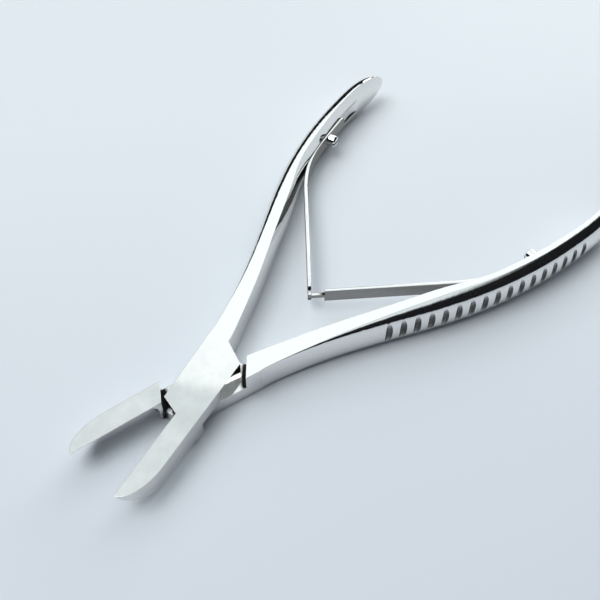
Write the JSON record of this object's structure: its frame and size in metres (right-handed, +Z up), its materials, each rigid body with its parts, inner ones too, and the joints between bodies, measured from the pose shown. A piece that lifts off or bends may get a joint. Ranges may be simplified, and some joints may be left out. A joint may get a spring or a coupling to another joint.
{
  "type": "bone rongeur",
  "caption": "Spring-handled bone rongeur with straight hollow-ground jaws, a riveted half-lap lock, grooved finger grips and hooked leaf springs.",
  "frame": {"origin": "on the pivot axis, in the flat underside of the lock", "axes": "+X from the pivot towards the handles, between them; +Z up along the pivot axis; +Y towards the left handle, whose cheek is on top"},
  "size_m": [0.1429, 0.0852, 0.0106],
  "materials": {
    "arm_steel": "mirror-polished stainless steel",
    "pivot_steel": "stainless steel ground flush and polished",
    "spring_steel": "polished spring steel strip",
    "screw_steel": "turned and polished stainless steel"
  },
  "bodies": {
    "left_half": {"left_arm": "arm_steel", "pivot_rivet": "pivot_steel", "forked_leaf_spring": "spring_steel", "left_spring_screw": "screw_steel"},
    "right_half": {"right_arm": "arm_steel", "tongue_leaf_spring": "spring_steel", "right_spring_screw": "screw_steel"}
  },
  "joints": [
    {"name": "jaw_pivot", "type": "hinge", "parent": "left_half", "child": "right_half", "pos_m": [0, 0, 0.0036], "axis": [0, 0, 1], "range_deg": [-3, 25], "stiffness_Nm_per_rad": 2, "deforming": ["forked_leaf_spring", "tongue_leaf_spring"]}
  ]
}
